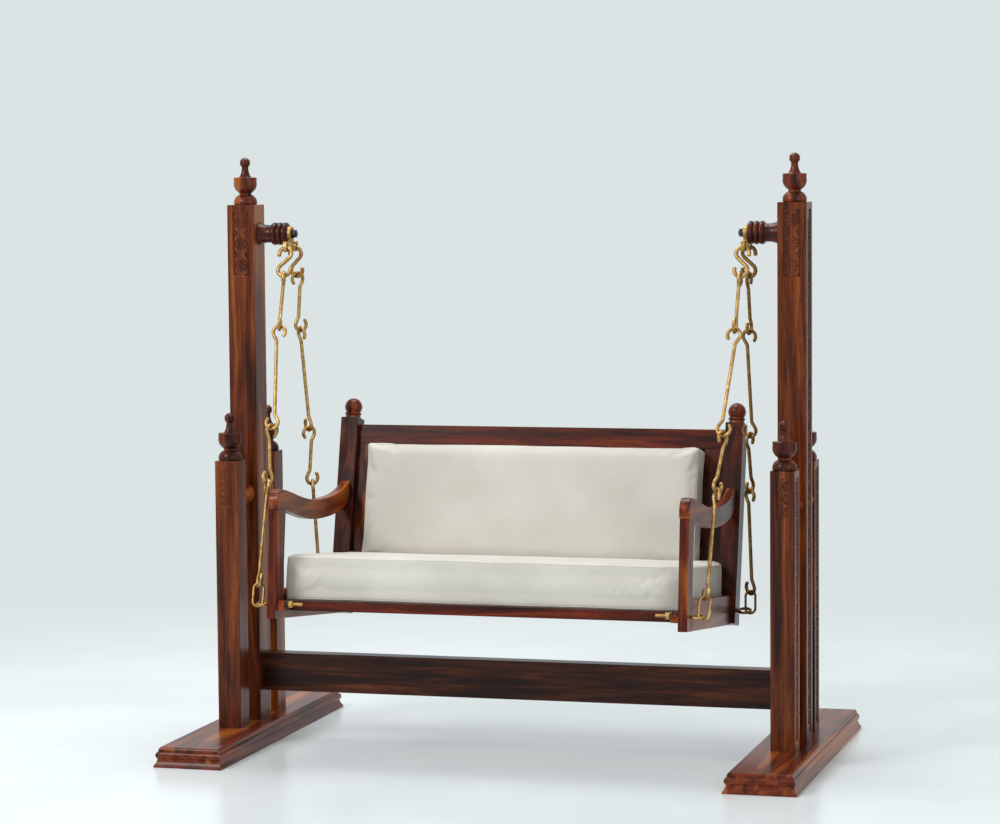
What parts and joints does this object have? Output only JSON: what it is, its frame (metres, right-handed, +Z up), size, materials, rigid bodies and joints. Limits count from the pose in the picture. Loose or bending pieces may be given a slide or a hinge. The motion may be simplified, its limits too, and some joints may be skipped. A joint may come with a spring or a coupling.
{
  "type": "jhoola swing",
  "caption": "Free-standing wooden swing bench on jointed brass hook rods between carved and turned stands, with loose seat and back cushions.",
  "frame": {"origin": "on the floor, midway between the two stands and under the hangers' pivots", "axes": "+X along the seat to the right of someone looking at its front, +Y to the back, +Z up"},
  "size_m": [1.827, 1.071, 1.7048],
  "materials": {
    "rosewood": "glossy lacquered red-brown hardwood",
    "brass": "satin, slightly aged",
    "black_steel": "satin black",
    "steel": "turned bar",
    "canvas": "off-white cotton canvas"
  },
  "bodies": {
    "stand": {"left_front_finial": "rosewood", "left_front_post": "rosewood", "left_peg": "rosewood", "left_pivot_stud": "steel", "left_plinth": "rosewood", "left_rear_finial": "rosewood", "left_rear_post": "rosewood", "left_spacers": "rosewood", "left_tall_finial": "rosewood", "left_tall_post": "rosewood", "pivot_nuts": "black_steel", "pivot_washers": "black_steel", "right_front_finial": "rosewood", "right_front_post": "rosewood", "right_peg": "rosewood", "right_pivot_stud": "steel", "right_plinth": "rosewood", "right_rear_finial": "rosewood", "right_rear_post": "rosewood", "right_spacers": "rosewood", "right_tall_finial": "rosewood", "right_tall_post": "rosewood", "stretcher": "rosewood"},
    "swing": {"back_pad": "canvas", "back_panel": "rosewood", "bolt_nuts": "brass", "bolt_washers": "black_steel", "front_batten": "rosewood", "left_arm": "rosewood", "left_back_post": "rosewood", "left_ball_finial": "rosewood", "left_eye_bolts": "brass", "left_front_leg": "rosewood", "left_front_rods": "brass", "left_hanger": "brass", "left_rear_rods": "brass", "left_rings": "brass", "left_s_hooks": "brass", "left_side_batten": "rosewood", "left_side_rail": "rosewood", "left_stile": "rosewood", "low_rail": "rosewood", "rear_batten": "rosewood", "right_arm": "rosewood", "right_back_post": "rosewood", "right_ball_finial": "rosewood", "right_eye_bolts": "brass", "right_front_leg": "rosewood", "right_front_rods": "brass", "right_hanger": "brass", "right_rear_rods": "brass", "right_rings": "brass", "right_s_hooks": "brass", "right_side_batten": "rosewood", "right_side_rail": "rosewood", "right_stile": "rosewood", "seat_pad": "canvas", "slats": "rosewood", "top_rail": "rosewood"}
  },
  "joints": [
    {"name": "swing", "type": "hinge", "parent": "stand", "child": "swing", "pos_m": [0, 0, 1.483], "axis": [1, 0, 0], "range_deg": [-25, 25]}
  ]
}
